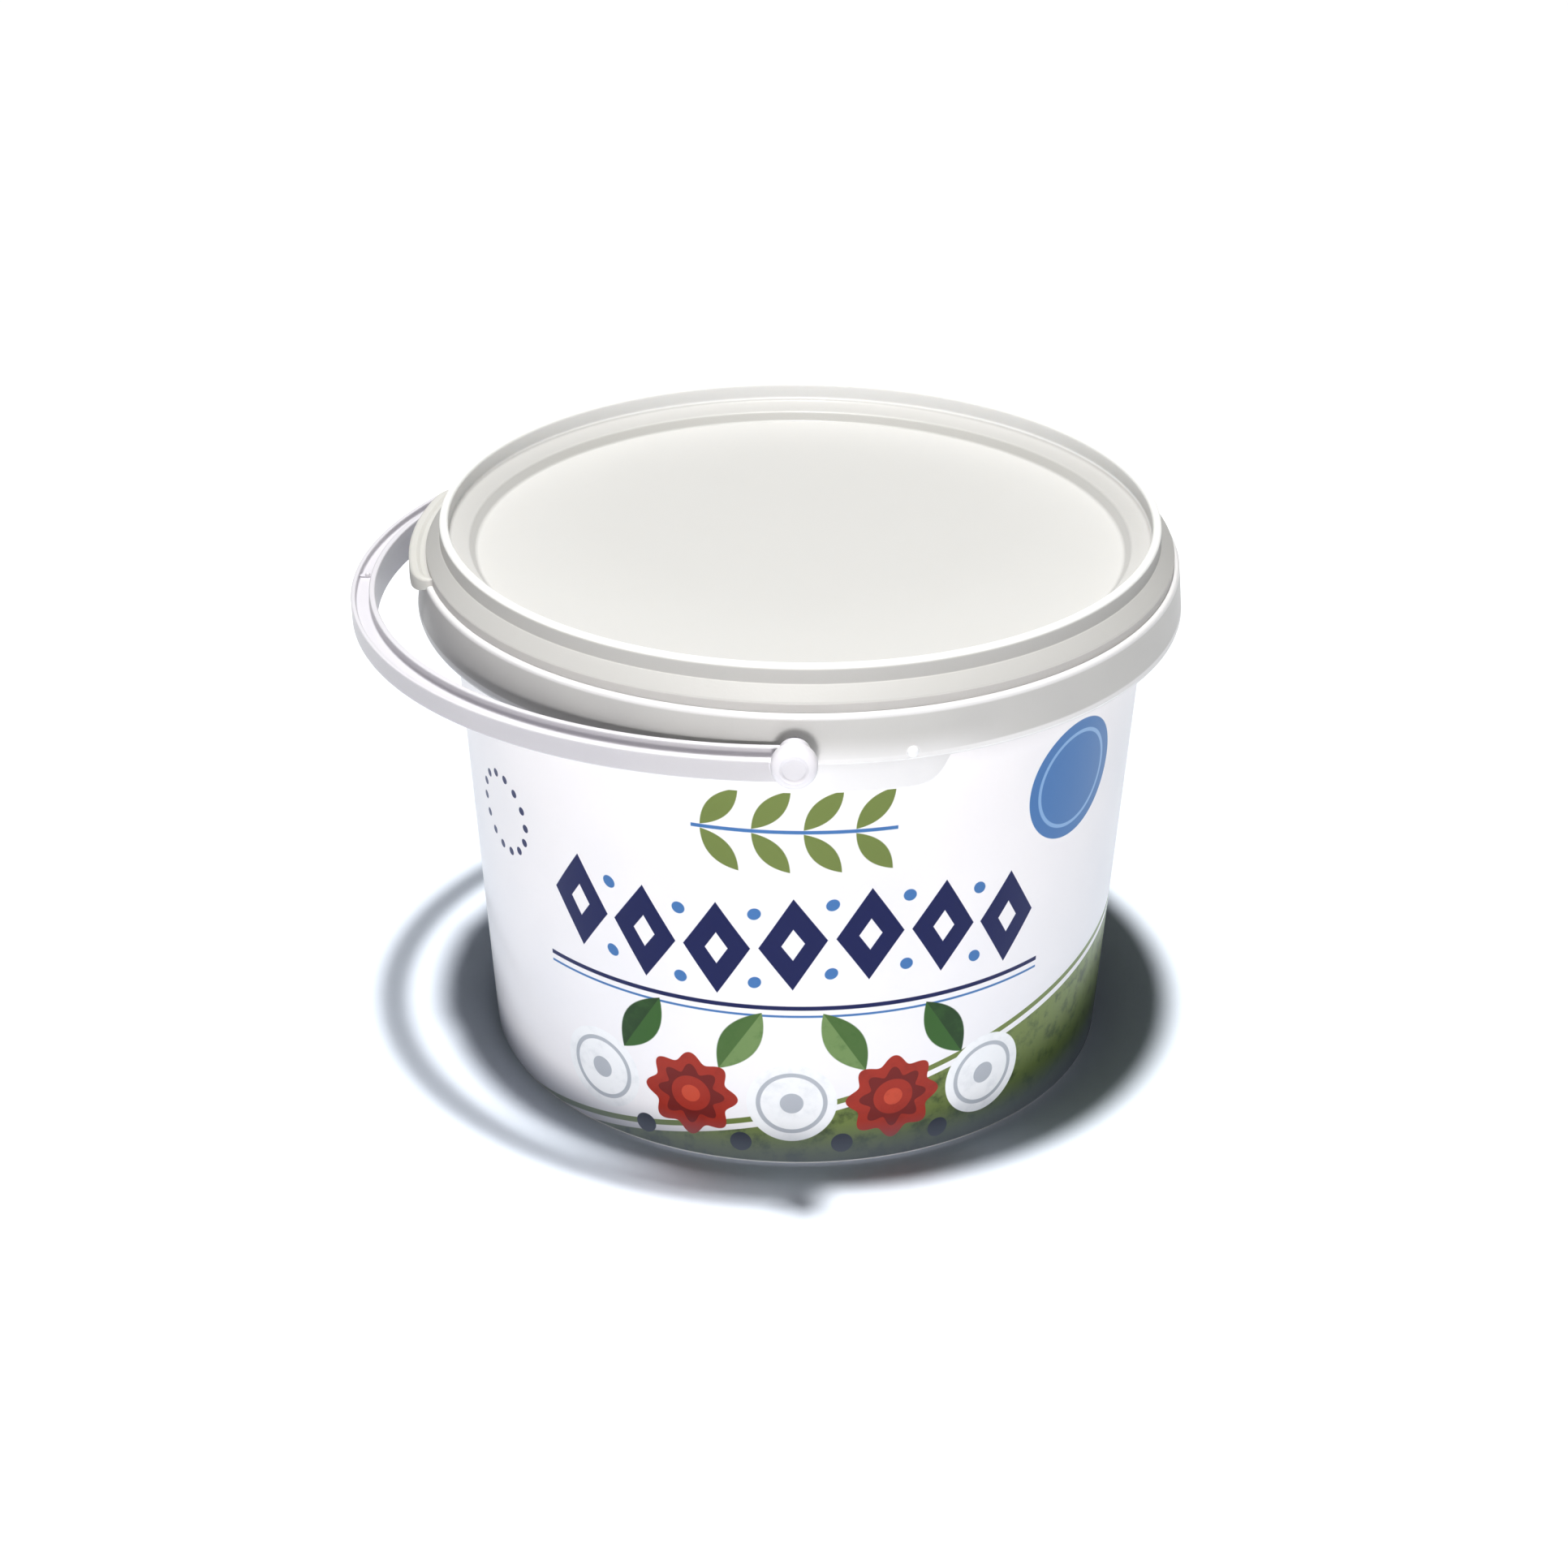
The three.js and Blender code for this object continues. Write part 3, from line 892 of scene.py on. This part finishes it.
lidLightAndShade = {  # painted light and shade on the lid in bands: the recess step lighter at the front than at the back, the thin panel a little darker than the thick rim and paler towards its front, painted shade on the neck, shoulder, skirt and the back of the panel's groove, a pale inner wall as painted light and a painted highlight on the rim top; edges are (place, softness)
    "stepLitFront": "d5d4d2", "stepShadedBack": "c1c0be", "stepTurn": 50.0, "stepTo": (81.9, 0.2),
    "panel": "d3d2d0", "panelRim": "d6d5d3", "panelTo": (lid["stepRadius"], 0.6), "panelShare": 0.8,
    "cloudMiddle": (0, 12.0, 0), "cloudRange": (38.0, 72.0),
    "outerFrom": (81.9, 0.1), "outerTo": (86.1, 0.2),
    "neck": "bfbebc", "neckFrom": (lid["neckBottom"], 0.15), "neckTo": (129.6, 0.2),
    "shoulder": "bbbab8", "shoulderMiddle": 125.0, "shoulderHalf": (1.4, 0.12),
    "skirt": "c4c2c0", "skirtTo": (123.55, 0.1),
    "groove": "c5c4c1", "grooveMiddle": 75.1, "grooveHalf": (0.9, 0.3), "grooveRange": (10.0, 60.0),
    "innerWallLight": "fdfdfc", "innerMiddle": 128.4, "innerHalf": (1.9, 0.3), "innerReach": (81.0, 0.1),
    "rim": "f0f0ee", "rimFrom": (129.9, 0.25),
}


def lidMaterial():
    # Painted light and shade in bands: the thin parts are darker than the thick rim, upright bands and the
    # back are shaded, and the recess's inner wall and the rim top are painted pale.
    look = plasticLooks["lid"]
    paint = Paint("lidPlasticAndPaintedLight")
    place, _, x, y, up = onPiece(paint)
    colour, roughness, height = plasticBase(paint, look, place)
    flat = paint.node("ShaderNodeCombineXYZ", None, {"X": x, "Y": y})
    reach = measure(paint, flat)
    shades = lidLightAndShade
    # painted shade: the recess step darkens from the front to the back
    turn = paint.fade(y, -shades["stepTurn"], shades["stepTurn"])
    step = paint.layer(ink(shades["stepLitFront"]), ink(shades["stepShadedBack"]), turn)
    colour = paint.layer(colour, step, paint.below(reach, *shades["stepTo"]))
    # painted shade: the thin panel sits a little darker than the thick rim, paler towards its front
    cloud = paint.fade(measure(paint, flat, shades["cloudMiddle"]), *shades["cloudRange"])
    panel = paint.layer(ink(shades["panel"]), ink(shades["panelRim"]), cloud)
    colour = paint.layer(colour, panel, paint.below(reach, *shades["panelTo"]) * shades["panelShare"])
    # painted shade on the neck, then on the shoulder and the skirt
    outer = 1 - paint.below(reach, *shades["outerFrom"])
    neck = paint.below(up, *shades["neckTo"]) * (1 - paint.below(up, *shades["neckFrom"]))
    colour = paint.layer(colour, ink(shades["neck"]), neck * outer)
    outer = outer * paint.below(reach, *shades["outerTo"])
    shoulder = paint.below(abs(up - shades["shoulderMiddle"]), *shades["shoulderHalf"])
    colour = paint.layer(colour, ink(shades["shoulder"]), outer * shoulder)
    colour = paint.layer(colour, ink(shades["skirt"]), outer * paint.below(up, *shades["skirtTo"]))
    # painted shade in the groove at the back of the panel's edge
    groove = paint.below(abs(reach - shades["grooveMiddle"]), *shades["grooveHalf"])
    colour = paint.layer(colour, ink(shades["groove"]), groove * paint.fade(y, *shades["grooveRange"]))
    # painted light on the recess's inner wall, which faces away from the lamps
    innerWallLight = paint.below(abs(up - shades["innerMiddle"]), *shades["innerHalf"])
    innerWallLight = innerWallLight * paint.below(reach, *shades["innerReach"])
    colour = paint.layer(colour, ink(shades["innerWallLight"]), innerWallLight)
    # painted highlight along the rim top
    colour = paint.layer(colour, ink(shades["rim"]), 1 - paint.below(up, *shades["rimFrom"]))
    return paint.plastic(look, colour, roughness, paint.bump(height, look["grain"]))


lidShell = makeLid()
finishPiece(lidShell, lidMaterial(), "pail", "lid")
print("lid made")


# Handle: half an oval in plan with an upright web, a ledge and a lower flange, and a button on each
# pivot. It is drawn level about the pivots' line and then tilted to its rest.

handle = {
    "tilt": -1.2,
    "innerReach": 97.8,
    "innerHalfSpan": 88.8,
    "width": 5.6,
    "webThickness": 1.4,
    "webTop": 1.8,
    "webBottom": -6.4,
    "ledgeTop": -0.7,
    "ledgeBottom": -2.1,
    "flangeThickness": 1.1,
    "flangeTop": 0.8,
    "flangeBottom": -4.2,
    "round": 0.4,
    "steps": 220,
}
button = {
    "tip": 84.4, "headRadius": 3.4, "headTaper": 1.0, "headThickness": 1.4, "pinRadius": 2.5,
    "neckRadius": 3.5, "neckStart": 88.8, "start": 93.6, "radius": 4.9, "reach": 97.2,
    "faceRadius": 3.1, "dish": 0.35, "dome": 1.7, "steps": 96,
}
gripMark = {
    "place": 2.0, "width": 1.2, "height": 0.4, "sections": 5,
    "pipRadius": 0.7, "pipHeight": 0.9, "pipRings": 15, "pipSteps": 24,
}


def handleSection():
    # The section as (distance out from the inner face, height from the pivots' line)
    small = handle["round"]
    web = handle["webThickness"]
    flange = handle["width"] - handle["flangeThickness"]
    return roundedLine([
        (0, handle["webBottom"], small),
        (0, handle["webTop"], small),
        (web, handle["webTop"], small),
        (web, handle["ledgeTop"], small),
        (flange, handle["ledgeTop"], small),
        (flange, handle["flangeTop"], small),
        (handle["width"], handle["flangeTop"], small),
        (handle["width"], handle["flangeBottom"], small),
        (flange, handle["flangeBottom"], small),
        (flange, handle["ledgeBottom"], small),
        (web, handle["ledgeBottom"], small),
        (web, handle["webBottom"], small),
    ], closed=True)


def alongHandle(turn, out, height):
    # A point of the handle: its turn from the middle of the bow, its way out and its height
    reach = handle["innerReach"] + out
    span = handle["innerHalfSpan"] + out
    return (-reach * math.cos(turn), span * math.sin(turn), height + pivot["height"])


def buttonOutline():
    small = handle["round"]
    headTop = button["tip"] + button["headThickness"]
    return roundedLine([
        (0, button["tip"], 0),
        (button["headRadius"] - button["headTaper"], button["tip"], small),
        (button["headRadius"], headTop, small / 2),
        (button["pinRadius"], headTop, small / 2),
        (button["pinRadius"], button["neckStart"], 0),
        (button["neckRadius"], button["neckStart"], small),
        (button["neckRadius"], button["start"], small),
        (button["radius"], button["start"], small),
        (button["radius"], button["reach"], button["dome"]),
        (button["faceRadius"], button["reach"], small / 3),
        (button["faceRadius"] - 2 * button["dish"], button["reach"] - button["dish"], small / 2),
        (0, button["reach"] - button["dish"], 0),
    ])


def armEndOutline():
    radius = (handle["webTop"] - handle["webBottom"]) / 2
    start = handle["innerHalfSpan"]
    end = start + handle["width"] - handle["flangeThickness"]
    return roundedLine([
        (0, start, 0),
        (radius, start, handle["round"]),
        (radius, end, handle["round"]),
        (0, end, 0),
    ])


def makeGripMark():
    # A short mould mark across the ledge
    middle = math.asin(gripMark["place"] / handle["innerHalfSpan"])
    half = gripMark["width"] / 2 / handle["innerHalfSpan"]
    low = handle["ledgeBottom"] / 2 + handle["ledgeTop"] / 2
    high = handle["ledgeTop"] + gripMark["height"]
    outline = roundedLine([
        (handle["webThickness"] / 2, low, 0),
        (handle["webThickness"] / 2, high, 0),
        (handle["width"] - handle["flangeThickness"] / 2, high, 0),
        (handle["width"] - handle["flangeThickness"] / 2, low, 0),
    ], closed=True)
    turns = np.linspace(middle - half, middle + half, gripMark["sections"])
    sections = [[alongHandle(turn, out, height) for out, height in outline] for turn in turns]
    return gridObject("gripMark", sections, closedSection=True, caps=True)


def makePip():
    rise = np.linspace(-math.pi / 2, math.pi / 2, gripMark["pipRings"])
    dome = [(gripMark["pipRadius"] * math.cos(a), gripMark["pipHeight"] * math.sin(a)) for a in rise]
    made = turnedObject("gripPip", dome, gripMark["pipSteps"])
    turn = math.asin(gripMark["place"] / handle["innerHalfSpan"])
    place = Vector(alongHandle(turn, handle["width"] / 2, handle["ledgeTop"] + gripMark["height"] / 2))
    made.data.transform(Matrix.Translation(place * mm))
    return made


def makeHandle():
    section = handleSection()
    turns = np.linspace(-math.pi / 2, math.pi / 2, handle["steps"])
    sections = [[alongHandle(turn, out, height) for out, height in section] for turn in turns]
    made = gridObject("handleBow", sections, closedSection=True, caps=True)
    extras = [makeGripMark(), makePip()]
    lift = (handle["webTop"] + handle["webBottom"]) / 2
    for way in (1, -1):
        extras.append(pivotTurned("armEnd", armEndOutline(), button["steps"], way, lift))
        extras.append(pivotTurned("pivotButton", buttonOutline(), button["steps"], way))
    combine(made, extras, "UNION")
    lower = Matrix.Translation((0, 0, -pivot["height"] * mm))
    tilted = lower.inverted() @ Matrix.Rotation(math.radians(handle["tilt"]), 4, "Y") @ lower
    made.data.transform(tilted)
    return made


knobLight = {"colour": "dfdde1", "radius": (5.2, 0.15), "from": (93.4, 0.1)}  # painted light on the face of each button; edges are (place, softness)


def handleMaterial():
    # Painted light: faces that look up are painted paler than upright ones, and the face of each button is
    # painted paler too.
    look = plasticLooks["handle"]
    paint = Paint("handlePlasticAndPaintedLight")
    place, _, x, y, up = onPiece(paint)
    colour, roughness, height = plasticBase(paint, look, place)
    # painted light: faces that look up are painted paler
    normal = paint.node("ShaderNodeTexCoord").pick("Normal")
    facing = paint.node("ShaderNodeSeparateXYZ", None, {"Vector": normal}).pick("Z")
    colour = paint.layer(colour, ink(look["top"]), paint.fade(facing, *look["litTopRange"]))
    # painted light on the face of each button
    flat = paint.node("ShaderNodeCombineXYZ", None, {"X": x, "Z": up})
    knobLit = paint.below(measure(paint, flat, (0, 0, pivot["height"])), *knobLight["radius"])
    knobLit = knobLit * (1 - paint.below(abs(y), *knobLight["from"]))
    colour = paint.layer(colour, ink(knobLight["colour"]), knobLit)
    return paint.plastic(look, colour, roughness, paint.bump(height, look["grain"]))


handleBow = makeHandle()
finishPiece(handleBow, handleMaterial(), "handle", "handle")
print("handle made")


# Floor

# The floor is painted bluish near the pail, where the shadows fall, so they come out bluish; it is white
# further out.
floorLook = {
    "radius": 6000.0, "steps": 96, "roughness": 0.55,
    "near": "ecf2fb", "far": "fcfcfd", "nearTo": 0.13, "farFrom": 0.34,  # metres from the middle
}


def makeFloor():
    outline = [(0, 0), (floorLook["radius"] / 2, 0), (floorLook["radius"], 0)]
    made = turnedObject("studioFloor", outline, floorLook["steps"])
    paint = Paint("paleFloor")
    place = paint.node("ShaderNodeTexCoord").pick("Object")
    # painted bluish shade tint near the pail, white further out
    away = paint.fade(measure(paint, place), floorLook["nearTo"], floorLook["farFrom"])
    colour = paint.layer(ink(floorLook["near"]), ink(floorLook["far"]), away)
    values = {"Base Color": colour, "Roughness": floorLook["roughness"]}
    shader = paint.node("ShaderNodeBsdfPrincipled", None, values)
    paint.node("ShaderNodeOutputMaterial", None, {"Surface": shader})
    made.data.materials.append(paint.material)


makeFloor()
print("floor made")
